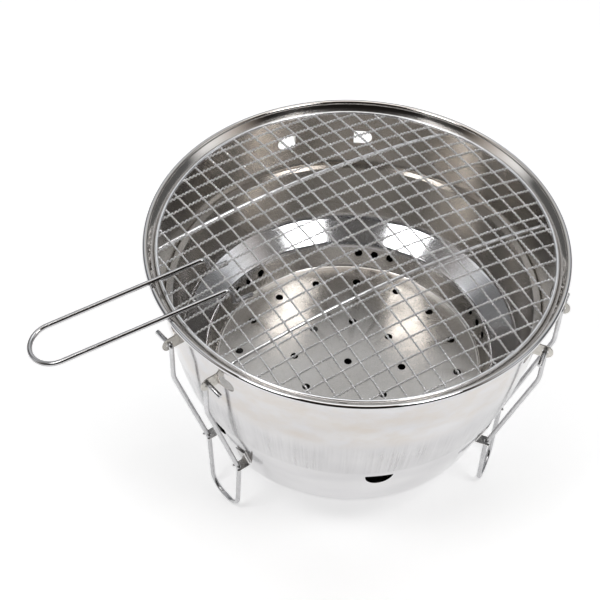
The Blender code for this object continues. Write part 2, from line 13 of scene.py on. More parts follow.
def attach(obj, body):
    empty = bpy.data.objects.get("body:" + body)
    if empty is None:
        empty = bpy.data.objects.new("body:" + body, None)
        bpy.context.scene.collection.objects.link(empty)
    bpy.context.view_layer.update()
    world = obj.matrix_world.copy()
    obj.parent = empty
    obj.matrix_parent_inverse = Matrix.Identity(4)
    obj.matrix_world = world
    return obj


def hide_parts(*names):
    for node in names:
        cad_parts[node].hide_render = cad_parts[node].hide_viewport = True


MM = 0.001
FULL_TURN = 360.0
SHARP_ANGLE = 35.0

# Camera: looks down and slightly across the grill, as a standing person would.
CAMERA_AIM = (-54.8, -57.9, 198.0)
CAMERA_DISTANCE = 1299.6
CAMERA_HEADING = 79.5
CAMERA_ELEVATION = 47.555
CAMERA_ROLL = 2.615
CAMERA_LENS = 102.0
CAMERA_SENSOR = 36.0

# Floor: pale studio paper just under the foot bars, which glows a little.
FLOOR_HEIGHT = -35.2
FLOOR_RADIUS = 20000.0
FLOOR_SIDES = 64
FLOOR_GLOW = 0.52
FLOOR_TONES = ((0.90, 0.90, 0.90), (0.93, 0.93, 0.93))
FLOOR_NOISE = ((3.0, 3.0, 3.0), 2.0)
FLOOR_ROUGHNESS = 0.9
FLOOR_SPECULAR = 0.1

# Studio light zones: azimuth from the view direction, elevation, outer and inner angle of
# the zone, and brightness. The dark zone round the camera has the same angles. The two
# softboxes stand beside the camera; their distance and size are in metres.
STUDIO_LEVEL = 0.14
STUDIO_LIGHT_ZONES = (
    (0.0, 50.0, 48.0, 20.0, 0.60),
    (0.0, 90.0, 30.0, 16.0, 2.0),
    (100.0, 36.0, 22.0, 8.0, 1.1),
    (-100.0, 36.0, 22.0, 8.0, 1.1),
)
STUDIO_DARK_ZONE = (38.0, 72.0, 40.0)
STUDIO_DIMMING = 0.9
STUDIO_COLOUR = (0.96, 0.98, 1.0)
STUDIO_DARK_COLOUR = (1.0, 0.88, 0.78)
SOFTBOX_SPREAD = 50.0
SOFTBOX_ELEVATION = 58.0
SOFTBOX_DISTANCE = 1.5
SOFTBOX_SIZE = (0.38, 0.46)
SOFTBOX_POWER = 4.5

# Bowl.
BOWL_SHEET = 1.0
FOOT_CORNER_RADIUS = 115.6
FOOT_FILLET = 30.0
CREASE_HEIGHT = 80.0
SHOULDER_HEIGHT = 190.0
SHOULDER_RADIUS = 161.2
BARREL_SLOPE = 0.0745
BARREL_CURVATURE = 0.000863
BARREL_STEPS = 24
CURL_CENTRE = (167.7, 195.7)
CURL_RADIUS = 2.3
CURL_LIP_ANGLE = -128.0
LATHE_SEGMENTS = 240

VENT_AZIMUTHS = tuple(30.0 + 60.0 * k for k in range(6))
VENT_TOP_HEIGHT = 75.0
VENT_DEPTH = 17.0
VENT_HALF_WIDTH = 11.25
VENT_CUT = (120.0, 160.0)

# Legs, ears and clips.
LEG_AZIMUTHS = (90.0, 210.0, 330.0)
LEG_WIRE_RADIUS = 2.0
PIN_RADIUS_FROM_AXIS = 166.0
PIN_HEIGHT = 165.0
PIN_TAIL_END = 41.0
ARM_HALF_SPAN = 22.0
ANKLE_HALF_SPAN = 20.6
LEG_BENDS = (
    ((ARM_HALF_SPAN, PIN_RADIUS_FROM_AXIS, PIN_HEIGHT), 3.0),
    ((ARM_HALF_SPAN, 165.2, 128.3), 30.0),
    ((ANKLE_HALF_SPAN, 132.3, 27.1), 30.0),
    ((17.9, 131.2, -15.0), 20.0),
    ((16.6, 130.8, -33.0), 14.0),
)
LEG_BEND_STEPS = 10
EAR_HALF_SPAN = 24.9
EAR_SHEET = 1.0
EAR_TIP_RADIUS = 6.4
EAR_HOLE_RADIUS = 2.6
EAR_OPENING_INNER_EDGE = 25.7
EAR_OPENING_STRAIGHT = 9.0
EAR_OPENING_CUT = (120.0, 175.0)
EAR_EDGE_BEVEL = 0.18
CLIP_HALF_WIDTH = 4.4
CLIP_SHEET = 1.2
CLIP_TAB_HEIGHT = 29.4
CLIP_STRAP_TOP = 52.0
CLIP_TAB_END = 136.3
CLIP_SLOT_HALF_WIDTH = 2.4
CLIP_SLOT_ROOT = 133.3
CLIP_GAP = 0.3
CLIP_EDGE_BEVEL = 0.25

# Charcoal pan.
PAN_SHEET = 1.0
PAN_FLOOR_HEIGHT = 50.0
PAN_BENDS = (((113.0, PAN_FLOOR_HEIGHT), 3.0), ((119.3, 71.0), 8.0), ((141.6, 86.0), 8.0))
PAN_BEND_STEPS = 6
PAN_RIM = (147.3, 138.0)
PAN_CURL_CENTRE = (152.2, 136.7)
PAN_CURL_RADIUS = 1.3
PAN_HOLE_RADIUS = 3.4
PAN_FLOOR_RINGS = ((46.0, 30.3, 8), (93.5, -14.4, 16))
PAN_FLOOR_CUT = 4.0
PAN_SIDE_HOLE_HEIGHT = 63.0
PAN_SIDE_HOLE_GROUPS = 6
PAN_SIDE_GROUP_START = 9.0
PAN_SIDE_HOLE_SPACING = 7.0
PAN_SIDE_CUT = (105.0, 130.0)

# Net.
NET_RING_RADIUS = 159.0
NET_RING_HEIGHT = 191.6
NET_ROD_RADIUS = 1.5
NET_AZIMUTH = 23.0
NET_PITCH = 15.0
NET_LINE_PHASE_U = 8.0
NET_LINE_PHASE_V = -1.7
NET_EDGE_RADIUS = 156.5
NET_WELD_RADIUS = 158.2
NET_EDGE_HEIGHT = 191.4
NET_RISE = 17.0
NET_WIRE_RADIUS = 0.7
NET_CRIMP = 0.95
NET_WAVES_PER_CELL = 4.5
NET_STEPS_PER_WAVE = 8
NET_WIRE_RESOLUTION = 1
NET_ROD_OFFSETS = (78.0, -54.0)
NET_ROD_DROP = 3.1
NET_ROD_INSET = 1.0
NET_ROD_STEPS = 48

# Handle.
HANDLE_WIRE_RADIUS = 2.1
HANDLE_AXIS_U = -118.0
HANDLE_HOOK_V = (32.3, -6.1)
HANDLE_HEADING = 171.0
HANDLE_REACH = 270.7
HANDLE_BEAD_REACH = 166.5
HANDLE_BEAD_HEIGHT = 200.65
HANDLE_SLOPE = 0.2
HANDLE_TIP_HEIGHT = 195.2
HANDLE_TIP_LENGTH = 18.0
HANDLE_UPPER_BEND = 5.0
HANDLE_LOWER_BEND = 4.0
HANDLE_LEAD = 20.0
HANDLE_LOOP_STEPS = 48

# Finish of the bowl: heights where each mark starts, is full, still full, and has gone;
# and where the rim's polish and the painted shade in the ash space start and end.
BOWL_DRAWN_BAND = (80.0, 83.0, 112.0, 136.0)
BOWL_STAIN_BAND = (118.0, 142.0, 176.0, 190.0)
POLISHED_RIM = (162.0, 164.0)
ASH_SPACE_SHADE_FADE = (55.0, 110.0)

# Noises: scale along X, Y and Z per metre, then detail, then roughness where it isn't 0.5.
BOWL_STREAK_NOISE = ((700.0, 700.0, 14.0), 3.0, 0.65)
BOWL_SMUDGE_NOISE = ((60.0, 60.0, 30.0), 3.0)
BOWL_STAIN_NOISE = ((26.0, 26.0, 40.0), 4.0, 0.6)
BOWL_CLOUD_NOISE = ((14.0, 14.0, 30.0), 2.0)
PAN_SPIN_NOISE = ((260.0, 260.0, 260.0), 2.0)
PAN_CLOUD_NOISE = ((24.0, 24.0, 24.0), 3.0)
WIRE_MARK_NOISE = ((90.0, 90.0, 90.0), 3.0)
SHEET_GRAIN_NOISE = ((900.0, 900.0, 90.0), 4.0)
SHEET_CLOUD_NOISE = ((160.0, 160.0, 160.0), 3.0)
NOISE_MIDDLE = (0.3, 0.7)

# Tones are base colours; amounts and roughness run from the least to the most that a noise
# gives; changes are added to the roughness; bumps are a strength and a height in mm.
BOWL_OUTSIDE_TONES = ((0.60, 0.595, 0.605), (0.68, 0.675, 0.68))
BOWL_INSIDE_TONE = (0.64, 0.61, 0.58)
# Painted shade: dark tone for the inside of the bowl around and under the pan, where little light
# gets in.
BOWL_ASH_SPACE_PAINTED_SHADE = (0.16, 0.155, 0.15)
BOWL_STAIN_TONE = (0.58, 0.53, 0.475)
BOWL_STREAK_TONE = (0.46, 0.455, 0.46)
BOWL_STAIN_AMOUNT = (-0.2, 0.7)
BOWL_SMUDGE_AMOUNT = (0.15, 0.75)
BOWL_ROUGHNESS = (0.17, 0.20)
BOWL_OUTSIDE_CHANGE = -0.07
BOWL_DRAWN_CHANGE = 0.10
BOWL_STREAK_CHANGE = 0.12
BOWL_RIM_CHANGE = -0.11
BOWL_BUMP = (0.15, 0.04)
# The pan's shoulder band is polished (less rough) and also gets a painted sheen: a lighter,
# slightly blue tone standing in for the reflections of the studio lights there.
PAN_POLISH_AND_SHEEN_BAND = (66.0, 70.0, 85.0, 90.0)
PAN_TONES = ((0.64, 0.615, 0.585), (0.71, 0.69, 0.665))
PAN_PAINTED_SHEEN_TONE = (0.80, 0.80, 0.82)
PAN_LINE_TONE = (0.50, 0.48, 0.46)
PAN_LINE_AMOUNT = (0.0, 0.18)
PAN_ROUGHNESS = (0.19, 0.23)
PAN_POLISHED_CHANGE = -0.08
PAN_BUMP = (0.05, 0.04)
WIRE_GRAIN_STRETCH = 0.3
WIRE_GRAIN_DETAIL = 4.0
WIRE_MARK_SHADE = 0.78
WIRE_MARK_AMOUNT = (0.0, 0.8)
WIRE_BUMP = (0.15, 0.03)
SHEET_CLOUD_SHADE = 0.7
SHEET_CLOUD_AMOUNT = (0.0, 0.9)
SHEET_BUMP = (0.2, 0.03)

# Finishes of the small parts: tone, roughness range, and for wire the grain per metre.
# The plated wires of the net are less metallic than the bare steel of the rest.
EAR_FINISH = ((0.62, 0.60, 0.56), (0.24, 0.38))
CLIP_FINISH = ((0.72, 0.71, 0.70), (0.18, 0.30))
LEG_WIRE_FINISH = ((0.62, 0.62, 0.63), (0.20, 0.32), 700.0)
HANDLE_FINISH = ((0.56, 0.555, 0.56), (0.14, 0.22), 700.0)
NET_MESH_FINISH = ((0.98, 0.98, 0.985), (0.20, 0.28), 900.0)
NET_RING_FINISH = ((0.88, 0.88, 0.89), (0.14, 0.22), 700.0)
NET_MESH_METALLIC = 0.72
NET_RING_METALLIC = 0.8

# Sockets of Blender's Mix node when it mixes colours.
MIX_FACTOR = 0
MIX_FIRST = 6
MIX_SECOND = 7
MIX_RESULT = 2

# Smoothness of round shapes, and the softened ends of wires.
ARC_STEPS = 12
HOLE_SIDES = 24
WIRE_RESOLUTION = 6
WIRE_END_CHAMFER = 0.4
WIRE_END_SCALE = 0.8


# ---------------------------------------------------------------- shapes

def polar(radius, azimuth, height=0.0):
    """Point at a radius and azimuth about +Z."""
    angle = math.radians(azimuth)
    return Vector((radius * math.cos(angle), radius * math.sin(angle), height))


def section_point(radius, height):
    """Point of a turned part's section, in the XZ plane."""
    return Vector((radius, 0.0, height))


def arc(centre, radius, start, end, steps=ARC_STEPS):
    """Arc in the XZ plane, between two angles."""
    points = []
    for step in range(steps + 1):
        angle = math.radians(start + (end - start) * step / steps)
        points.append(section_point(centre[0] + radius * math.cos(angle),
                                    centre[1] + radius * math.sin(angle)))
    return points


def rounded_path(corners, radii, steps=ARC_STEPS):
    """Polyline through corners, each inner corner rounded with its own radius."""
    path = [Vector(corners[0])]
    for index, radius in enumerate(radii, start=1):
        corner = Vector(corners[index])
        to_previous = (Vector(corners[index - 1]) - corner).normalized()
        to_next = (Vector(corners[index + 1]) - corner).normalized()
        opening = to_previous.angle(to_next)
        centre = corner + (to_previous + to_next).normalized() * radius / math.sin(opening / 2)
        start = corner + to_previous * radius / math.tan(opening / 2) - centre
        axis = to_previous.cross(start)
        for step in range(steps + 1):
            turn = Matrix.Rotation((math.pi - opening) * step / steps, 3, axis)
            path.append(centre + turn @ start)
    path.append(Vector(corners[-1]))
    return path


def offset_section(path, distance):
    """Section path moved sideways; positive goes to its left."""
    moved = []
    for index, point in enumerate(path):
        before = path[max(index - 1, 0)]
        after = path[min(index + 1, len(path) - 1)]
        normals = []
        for start, end in ((before, point), (point, after)):
            along = end - start
            if along.length > 0.0:
                normals.append(Vector((-along.z, 0.0, along.x)).normalized())
        middle = sum(normals, Vector()).normalized()
        moved.append(point + middle * distance / middle.dot(normals[0]))
    return moved


def circle_points(centre, radius, first, second, sides=HOLE_SIDES):
    """Points of a circle in the plane of two unit vectors."""
    points = []
    for side in range(sides):
        turn = 2 * math.pi * side / sides
        points.append(centre + radius * (math.cos(turn) * first + math.sin(turn) * second))
    return points


def mesh_from(bm, name):
    """Turn a bmesh in mm into a mesh in metres, faces out, round areas smooth."""
    bmesh.ops.scale(bm, vec=(MM, MM, MM), verts=bm.verts)
    bmesh.ops.recalc_face_normals(bm, faces=bm.faces)
    mesh = bpy.data.meshes.new(name)
    bm.to_mesh(mesh)
    bm.free()
    mesh.shade_smooth()
    mesh.set_sharp_from_angle(angle=math.radians(SHARP_ANGLE))
    return mesh


def turned_mesh(name, section):
    """Closed solid of revolution; the section starts and ends on the axis."""
    bm = bmesh.new()
    rings = []
    for point in section:
        if point.x == 0.0:
            rings.append([bm.verts.new(point)] * LATHE_SEGMENTS)
            continue
        azimuths = [FULL_TURN * segment / LATHE_SEGMENTS for segment in range(LATHE_SEGMENTS)]
        rings.append([bm.verts.new(polar(point.x, azimuth, point.z)) for azimuth in azimuths])
    for lower, upper in zip(rings, rings[1:]):
        for segment in range(LATHE_SEGMENTS):
            following = (segment + 1) % LATHE_SEGMENTS
            corners = (lower[segment], lower[following], upper[following], upper[segment])
            bm.faces.new(dict.fromkeys(corners))
    return mesh_from(bm, name)


def add_prism(bm, outline, shift, holes=()):
    """Add a solid between an outline, with holes in it, and its copy moved by shift."""
    edges = []
    for loop in (outline, *holes):
        vertices = [bm.verts.new(point) for point in loop]
        for start, end in zip(vertices, vertices[1:] + vertices[:1]):
            edges.append(bm.edges.new((start, end)))
    filled = bmesh.ops.triangle_fill(bm, use_beauty=True, edges=edges)
    faces = [item for item in filled["geom"] if isinstance(item, bmesh.types.BMFace)]
    raised = bmesh.ops.extrude_face_region(bm, geom=faces)
    moved = [item for item in raised["geom"] if isinstance(item, bmesh.types.BMVert)]
    bmesh.ops.translate(bm, verts=moved, vec=shift)


def add_piece(name, data, material, body, replaced, place=(0.0, 0.0, 0.0), azimuth=0.0):
    """Make a visible piece that stands for CAD nodes and moves with their body."""
    turn = Matrix.Rotation(math.radians(azimuth), 4, "Z")
    data.transform(Matrix.Translation(Vector(place) * MM) @ turn)
    piece = bpy.data.objects.new(name, data)
    bpy.context.scene.collection.objects.link(piece)
    data.materials.append(material)
    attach(piece, body)
    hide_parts(*replaced)
    return piece


def add_bevel(piece, width, segments=2):
    """Soften the cut edges of a sheet piece."""
    bevel = piece.modifiers.new("edge", "BEVEL")
    bevel.width = width * MM
    bevel.segments = segments
    bevel.limit_method = "ANGLE"
    bevel.angle_limit = math.radians(SHARP_ANGLE)
    bevel.harden_normals = True


def cut_mesh(mesh, cutter_bm):
    """Return the mesh with a set of separate solids taken out of it."""
    holder = bpy.data.objects.new("holder", mesh)
    cutter = bpy.data.objects.new("cutter", mesh_from(cutter_bm, "cutter"))
    for item in (holder, cutter):
        bpy.context.scene.collection.objects.link(item)
    cut = holder.modifiers.new("cut", "BOOLEAN")
    cut.operation = "DIFFERENCE"
    cut.solver = "EXACT"
    cut.object = cutter
    evaluated = holder.evaluated_get(bpy.context.evaluated_depsgraph_get())
    result = bpy.data.meshes.new_from_object(evaluated)
    for item in (holder, cutter):
        bpy.data.objects.remove(item, do_unlink=True)
    result.shade_smooth()
    result.set_sharp_from_angle(angle=math.radians(SHARP_ANGLE))
    return result


def wire_curve(name, paths, radius, cyclic=False, chamfered=True):
    """Round wires along paths in mm, in one curve."""
    curve = bpy.data.curves.new(name, "CURVE")
    curve.dimensions = "3D"
    curve.bevel_depth = radius * MM
    curve.bevel_resolution = WIRE_RESOLUTION
    curve.use_fill_caps = not cyclic
    for path in paths:
        radii = [1.0] * len(path)
        if chamfered and not cyclic:
            first = path[0] + (path[1] - path[0]).normalized() * WIRE_END_CHAMFER
            last = path[-1] + (path[-2] - path[-1]).normalized() * WIRE_END_CHAMFER
            path = [path[0], first, *path[1:-1], last, path[-1]]
            radii = [WIRE_END_SCALE, *[1.0] * (len(path) - 2), WIRE_END_SCALE]
        spline = curve.splines.new("POLY")
        spline.points.add(len(path) - 1)
        for spline_point, point, scale in zip(spline.points, path, radii):
            spline_point.co = (*(point * MM), 1.0)
            spline_point.radius = scale
        spline.use_cyclic_u = cyclic
        spline.use_smooth = True
    return curve


# ---------------------------------------------------------------- materials

def add_node(tree, kind, inputs=None, **settings):
    """Add a shader node; inputs are numbers, colours or other nodes' sockets."""
    made = tree.nodes.new(kind)
    for key, value in settings.items():
        setattr(made, key, value)
    for key, value in (inputs or {}).items():
        if isinstance(value, bpy.types.NodeSocket):
            tree.links.new(value, made.inputs[key])
        else:
            made.inputs[key].default_value = value
    return made


def math_node(tree, operation, first, second=0.0, third=0.0, clamp=False):
    """One arithmetic step between sockets or numbers."""
    inputs = {0: first, 1: second, 2: third}
    return add_node(tree, "ShaderNodeMath", inputs, operation=operation,
                    use_clamp=clamp).outputs[0]


def position(tree):
    """The place on the object, in metres."""
    return add_node(tree, "ShaderNodeTexCoord").outputs["Object"]


def noise(tree, vector, scale, detail=3.0, roughness=0.5):
    """Noise value at a vector, stretched by its three scales."""
    stretched = add_node(tree, "ShaderNodeVectorMath", {0: vector, 1: scale},
                         operation="MULTIPLY").outputs[0]
    texture = add_node(tree, "ShaderNodeTexNoise",
                       {"Vector": stretched, "Scale": 1.0, "Detail": detail,
                        "Roughness": roughness})
    return texture.outputs["Fac"]


def flat_vector(tree, place):
    """The part of a vector that lies in the XY plane."""
    return add_node(tree, "ShaderNodeVectorMath", {0: place, 1: (1.0, 1.0, 0.0)},
                    operation="MULTIPLY").outputs[0]


def axis_distance(tree, place):
    """Distance from the grill's axis."""
    return add_node(tree, "ShaderNodeVectorMath", {0: flat_vector(tree, place)},
                    operation="LENGTH").outputs["Value"]


def spin_vector(tree, place):
    """Radius and height as a vector, for marks left by turning and polishing."""
    height = add_node(tree, "ShaderNodeSeparateXYZ", {0: place}).outputs["Z"]
    return add_node(tree, "ShaderNodeCombineXYZ",
                    {"X": axis_distance(tree, place), "Z": height}).outputs[0]


def wall_vector(tree, place):
    """Place on the wall's mean cylinder: marks that follow it run straight up the flare."""
    outward = add_node(tree, "ShaderNodeVectorMath", {0: flat_vector(tree, place)},
                       operation="NORMALIZE").outputs[0]
    around = add_node(tree, "ShaderNodeVectorMath",
                      {0: outward, "Scale": SHOULDER_RADIUS * MM}, operation="SCALE").outputs[0]
    height = add_node(tree, "ShaderNodeSeparateXYZ", {0: place}).outputs["Z"]
    lift = add_node(tree, "ShaderNodeCombineXYZ", {"Z": height}).outputs[0]
    return add_node(tree, "ShaderNodeVectorMath", {0: around, 1: lift}).outputs[0]


def outward_mask(tree, place):
    """One on faces that look away from the grill's axis, zero on those that look at it."""
    normal = add_node(tree, "ShaderNodeTexCoord").outputs["Normal"]
    outward = add_node(tree, "ShaderNodeVectorMath", {0: flat_vector(tree, place)},
                       operation="NORMALIZE").outputs[0]
    facing_out = add_node(tree, "ShaderNodeVectorMath", {0: normal, 1: outward},
                          operation="DOT_PRODUCT").outputs["Value"]
    return math_node(tree, "GREATER_THAN", facing_out, 0.0)


def between(tree, value, low, high):
    """Stretch the middle part of a noise, where most of it lies, to the range low to high."""
    mapped = add_node(tree, "ShaderNodeMapRange",
                      {"Value": value, "From Min": NOISE_MIDDLE[0], "From Max": NOISE_MIDDLE[1],
                       "To Min": low, "To Max": high})
    return mapped.outputs[0]


def blend_colour(tree, factor, first, second):
    """Mix two colours, each a socket or a constant."""
    mixed = add_node(tree, "ShaderNodeMix", {MIX_FACTOR: factor}, data_type="RGBA")
    for key, colour in ((MIX_FIRST, first), (MIX_SECOND, second)):
        if isinstance(colour, bpy.types.NodeSocket):
            tree.links.new(colour, mixed.inputs[key])
        else:
            mixed.inputs[key].default_value = (*colour, 1.0)
    return mixed.outputs[MIX_RESULT]


def new_metal(name):
    """New material with its node tree and metallic shader."""
    material = bpy.data.materials.new(name)
    material.use_nodes = True
    tree = material.node_tree
    shader = tree.nodes["Principled BSDF"]
    shader.inputs["Metallic"].default_value = 1.0
    return material, tree, shader


def add_bump(tree, shader, height, strength, distance):
    """Fine relief from a height value; distance is in mm."""
    bump = add_node(tree, "ShaderNodeBump",
                    {"Height": height, "Strength": strength, "Distance": distance * MM})
    tree.links.new(bump.outputs[0], shader.inputs["Normal"])


def ramp(tree, value, start, end):
    """Smooth step from zero to one between two lengths in mm."""
    return add_node(tree, "ShaderNodeMapRange",
                    {"Value": value, "From Min": start * MM, "From Max": end * MM},
                    interpolation_type="SMOOTHSTEP").outputs[0]


def height_band(tree, height, foot, low, high, top):
    """One between the heights low and high, fading to zero at foot and at top."""
    rising = ramp(tree, height, foot, low)
    above = math_node(tree, "SUBTRACT", 1.0, ramp(tree, height, high, top))
    return math_node(tree, "MULTIPLY", rising, above)


def bowl_material():
    """Spun stainless sheet: drawn streaks outside above the crease, stains above them; painted
    shade low inside.
    """
    material, tree, shader = new_metal("bowl_steel")
    place = position(tree)
    height = add_node(tree, "ShaderNodeSeparateXYZ", {0: place}).outputs["Z"]
    outside = outward_mask(tree, place)
    polished = ramp(tree, axis_distance(tree, place), *POLISHED_RIM)
    drawn_band = math_node(tree, "MULTIPLY", outside,
                           height_band(tree, height, *BOWL_DRAWN_BAND))
    stain_band = height_band(tree, height, *BOWL_STAIN_BAND)
    wall = wall_vector(tree, place)
    streaks = noise(tree, wall, *BOWL_STREAK_NOISE)
    smudges = noise(tree, wall, *BOWL_SMUDGE_NOISE)
    stains = noise(tree, place, *BOWL_STAIN_NOISE)
    clouds = noise(tree, place, *BOWL_CLOUD_NOISE)
    outer = blend_colour(tree, between(tree, clouds, 0.0, 1.0), *BOWL_OUTSIDE_TONES)
    # Painted shade: the inside of the bowl turns dark towards the bottom, round and under the
    # pan.
    painted_shade_ramp = ramp(tree, height, *ASH_SPACE_SHADE_FADE)
    inner = blend_colour(tree, painted_shade_ramp, BOWL_ASH_SPACE_PAINTED_SHADE, BOWL_INSIDE_TONE)
    base = blend_colour(tree, outside, inner, outer)
    stain_amount = math_node(tree, "MULTIPLY", between(tree, stains, *BOWL_STAIN_AMOUNT),
                             stain_band, clamp=True)
    stained = blend_colour(tree, stain_amount, base, BOWL_STAIN_TONE)
    marks = math_node(tree, "MULTIPLY", between(tree, streaks, 0.0, 1.0),
                      between(tree, smudges, *BOWL_SMUDGE_AMOUNT))
    streak_amount = math_node(tree, "MULTIPLY", marks, drawn_band)
    tree.links.new(blend_colour(tree, streak_amount, stained, BOWL_STREAK_TONE),
                   shader.inputs["Base Color"])
    satin = between(tree, clouds, *BOWL_ROUGHNESS)
    outer_satin = math_node(tree, "MULTIPLY_ADD", outside, BOWL_OUTSIDE_CHANGE, satin)
    brushed = math_node(tree, "MULTIPLY_ADD", drawn_band, BOWL_DRAWN_CHANGE, outer_satin)
    worn = math_node(tree, "MULTIPLY_ADD", streak_amount, BOWL_STREAK_CHANGE, brushed)
    tree.links.new(math_node(tree, "MULTIPLY_ADD", polished, BOWL_RIM_CHANGE, worn),
                   shader.inputs["Roughness"])
    add_bump(tree, shader, streak_amount, *BOWL_BUMP)
    return material


def pan_material():
    """Pressed stainless sheet, polished on its sloping shoulder, with a lighter tone painted
    there as sheen.
    """
    material, tree, shader = new_metal("pan_steel")
    place = position(tree)
    height = add_node(tree, "ShaderNodeSeparateXYZ", {0: place}).outputs["Z"]
    shoulder = height_band(tree, height, *PAN_POLISH_AND_SHEEN_BAND)
    spin = noise(tree, spin_vector(tree, place), *PAN_SPIN_NOISE)
    clouds = noise(tree, place, *PAN_CLOUD_NOISE)
    plain = blend_colour(tree, between(tree, clouds, 0.0, 1.0), *PAN_TONES)
    # Painted sheen: the shoulder band gets a lighter, slightly blue tone.
    painted_sheen = blend_colour(tree, shoulder, plain, PAN_PAINTED_SHEEN_TONE)
    lined = blend_colour(tree, between(tree, spin, *PAN_LINE_AMOUNT), painted_sheen, PAN_LINE_TONE)
    tree.links.new(lined, shader.inputs["Base Color"])
    dull = between(tree, spin, *PAN_ROUGHNESS)
    tree.links.new(math_node(tree, "MULTIPLY_ADD", shoulder, PAN_POLISHED_CHANGE, dull),
                   shader.inputs["Roughness"])
    add_bump(tree, shader, spin, *PAN_BUMP)
    return material


def wire_material(name, tone, roughness, grain, metallic=1.0):
    """Drawn wire: fine lines along it, slightly uneven polish."""
    material, tree, shader = new_metal(name)
    shader.inputs["Metallic"].default_value = metallic
    place = position(tree)
    drawn = noise(tree, place, (grain, grain, grain * WIRE_GRAIN_STRETCH), WIRE_GRAIN_DETAIL)
    marks = noise(tree, place, *WIRE_MARK_NOISE)
    dark = tuple(channel * WIRE_MARK_SHADE for channel in tone)
    tree.links.new(blend_colour(tree, between(tree, marks, *WIRE_MARK_AMOUNT), tone, dark),
                   shader.inputs["Base Color"])
    tree.links.new(between(tree, drawn, *roughness), shader.inputs["Roughness"])
    add_bump(tree, shader, drawn, *WIRE_BUMP)
    return material


def sheet_material(name, tone, roughness):
    """Small cut sheet parts with a faint cloudy grain."""
    material, tree, shader = new_metal(name)
    place = position(tree)
    grain = noise(tree, place, *SHEET_GRAIN_NOISE)
    clouds = noise(tree, place, *SHEET_CLOUD_NOISE)
    dark = tuple(channel * SHEET_CLOUD_SHADE for channel in tone)
    tree.links.new(blend_colour(tree, between(tree, clouds, *SHEET_CLOUD_AMOUNT), tone, dark),
                   shader.inputs["Base Color"])
    tree.links.new(between(tree, grain, *roughness), shader.inputs["Roughness"])
    add_bump(tree, shader, grain, *SHEET_BUMP)
    return material


def floor_material():
    """Plain white studio paper with a faint uneven tone and a glow of its own."""
    material = bpy.data.materials.new("studio_paper")
    material.use_nodes = True
    tree = material.node_tree
    shader = tree.nodes["Principled BSDF"]
    grain = noise(tree, position(tree), *FLOOR_NOISE)
    paper = blend_colour(tree, between(tree, grain, 0.0, 1.0), *FLOOR_TONES)
    tree.links.new(paper, shader.inputs["Base Color"])
    tree.links.new(paper, shader.inputs["Emission Color"])
    shader.inputs["Emission Strength"].default_value = FLOOR_GLOW
    shader.inputs["Roughness"].default_value = FLOOR_ROUGHNESS
    shader.inputs["Specular IOR Level"].default_value = FLOOR_SPECULAR
    return material


# ---------------------------------------------------------------- bowl

def barrel_radius(height):
    """Outside radius of the bowl wall above the crease."""
    drop = SHOULDER_HEIGHT - height
    return SHOULDER_RADIUS - BARREL_SLOPE * drop - BARREL_CURVATURE * drop * drop


def foot_radius(height):
    """Outside radius of the straight flared wall below the crease."""
    flare = (barrel_radius(CREASE_HEIGHT) - FOOT_CORNER_RADIUS) / CREASE_HEIGHT
    return FOOT_CORNER_RADIUS + flare * height


def bowl_section():
    """Sheet from the base up the wall into the curled rim, and back down the inside."""
    corners = (section_point(0.0, 0.0), section_point(FOOT_CORNER_RADIUS, 0.0),
               section_point(barrel_radius(CREASE_HEIGHT), CREASE_HEIGHT))
    outside = rounded_path(corners, (FOOT_FILLET,))
    for step in range(1, BARREL_STEPS + 1):
        height = CREASE_HEIGHT + (SHOULDER_HEIGHT - CREASE_HEIGHT) * step / BARREL_STEPS
        outside.append(section_point(barrel_radius(height), height))
    inside = offset_section(outside, BOWL_SHEET)
    inside[0].x = 0.0
    curl_inside = arc(CURL_CENTRE, CURL_RADIUS - BOWL_SHEET, 180.0, CURL_LIP_ANGLE, 2 * ARC_STEPS)
    curl_outside = arc(CURL_CENTRE, CURL_RADIUS, CURL_LIP_ANGLE, 180.0, 3 * ARC_STEPS)
    return outside + curl_inside + curl_outside + inside[::-1]


def vent_outline():
    """Half-moon across the wall, flat edge up."""
    outline = []
    for step in range(2 * ARC_STEPS + 1):
        turn = math.pi * step / (2 * ARC_STEPS)
        outline.append(Vector((VENT_HALF_WIDTH * math.cos(turn), VENT_CUT[0],
                               VENT_TOP_HEIGHT - VENT_DEPTH * math.sin(turn))))
    return outline


def ear_opening_outline(side):
    """Opening beside an ear: straight at the ear, round at the far end."""
    straight_end = EAR_OPENING_INNER_EDGE + EAR_OPENING_STRAIGHT
    across = [(EAR_OPENING_INNER_EDGE, PIN_HEIGHT + EAR_TIP_RADIUS)]
    for step in range(ARC_STEPS + 1):
        turn = math.pi / 2 - math.pi * step / ARC_STEPS
        across.append((straight_end + EAR_TIP_RADIUS * math.cos(turn),
                       PIN_HEIGHT + EAR_TIP_RADIUS * math.sin(turn)))
    across.append((EAR_OPENING_INNER_EDGE, PIN_HEIGHT - EAR_TIP_RADIUS))
    return [Vector((side * x, EAR_OPENING_CUT[0], z)) for x, z in across]


def add_radial_cut(bm, outline, azimuth, length):
    """Add a cutting prism, drawn on the +Y side, at another azimuth."""
    turn = Matrix.Rotation(math.radians(azimuth - 90.0), 3, "Z")
    add_prism(bm, [turn @ point for point in outline], turn @ Vector((0.0, length, 0.0)))


